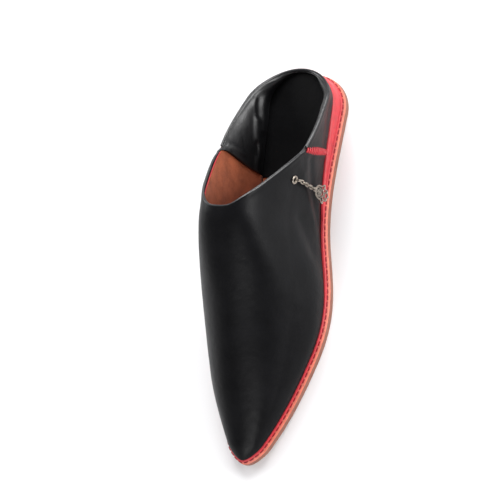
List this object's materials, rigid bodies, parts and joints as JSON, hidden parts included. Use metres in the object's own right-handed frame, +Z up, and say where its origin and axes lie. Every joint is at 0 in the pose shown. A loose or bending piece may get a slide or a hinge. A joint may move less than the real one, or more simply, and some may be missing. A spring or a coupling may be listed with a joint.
{
  "type": "babouche slipper",
  "caption": "Pointed leather babouche slipper with an open heel quarter, wedge heel, flat leather sole and a hand charm on a short chain.",
  "frame": {"origin": "on the floor under the middle of the sole's length and width", "axes": "+Z up, heel towards +Y, toe towards -Y, the charm's side towards +X (the wearer's left)"},
  "size_m": [0.0846, 0.268, 0.091],
  "materials": {
    "black_leather": "smooth black nappa with a soft sheen and a fine grain",
    "red_leather": "crimson leather, softly waxed",
    "sole_leather": "brown vegetable-tanned sole leather with a salmon bevelled edge",
    "suede": "rust-brown suede, matt with a short nap",
    "thread": "waxed crimson thread",
    "antique_silver": "antique silver, dark in its recesses"
  },
  "bodies": {
    "shoe": {"outsole": "sole_leather", "midsole": "red_leather", "heel_wedge": "red_leather", "upper": "black_leather", "insole": "suede", "eyelet": "antique_silver"},
    "chain": {"chain_link_1": "antique_silver", "chain_link_2": "antique_silver", "chain_link_3": "antique_silver", "chain_link_4": "antique_silver", "chain_link_5": "antique_silver", "chain_link_6": "antique_silver"},
    "charm": {"charm": "antique_silver"}
  },
  "joints": [
    {"name": "chain_swing", "type": "hinge", "parent": "shoe", "child": "chain", "pos_m": [0.03202, 0.046, 0.0486], "axis": [1, 0, 0], "range_deg": [-60, 30]},
    {"name": "charm_swing", "type": "hinge", "parent": "chain", "child": "charm", "pos_m": [0.03202, 0.046, 0.0318], "axis": [1, 0, 0], "range_deg": [-45, 45]}
  ]
}
